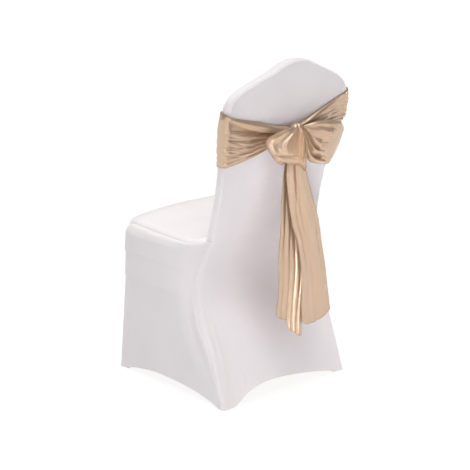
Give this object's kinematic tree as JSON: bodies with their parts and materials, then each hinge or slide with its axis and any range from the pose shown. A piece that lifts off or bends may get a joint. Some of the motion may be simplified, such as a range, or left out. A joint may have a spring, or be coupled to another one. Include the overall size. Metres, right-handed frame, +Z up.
{
  "type": "chair cover with sash",
  "caption": "Fitted stretch cover for a banquet chair with a crown back, with an arched hem, foot pockets, and a satin sash tied in a bow behind the backrest.",
  "frame": {"origin": "underside of the cover's crown, midway between its front and rear seams, where the top of the chair's backrest carries it", "axes": "+Z up, -Y towards the front of the seat, +X to the sitter's left"},
  "size_m": [0.464, 0.5649, 0.9348],
  "materials": {
    "white_stretch": "matt stretch knit with a slight sheen",
    "champagne_satin": "smooth satin with a soft gloss"
  },
  "bodies": {
    "root": {"rear_panel": "white_stretch", "edge_gusset": "white_stretch", "inside_back": "white_stretch", "seat_panel": "white_stretch", "side_panel_left": "white_stretch", "side_panel_right": "white_stretch", "foot_pocket_front_left": "white_stretch", "foot_pocket_front_right": "white_stretch", "foot_pocket_rear_left": "white_stretch", "foot_pocket_rear_right": "white_stretch", "sash_band": "champagne_satin", "sash_knot": "champagne_satin", "sash_loop_left": "champagne_satin", "sash_loop_right": "champagne_satin", "sash_tail_left": "champagne_satin", "sash_tail_right": "champagne_satin"}
  },
  "joints": []
}
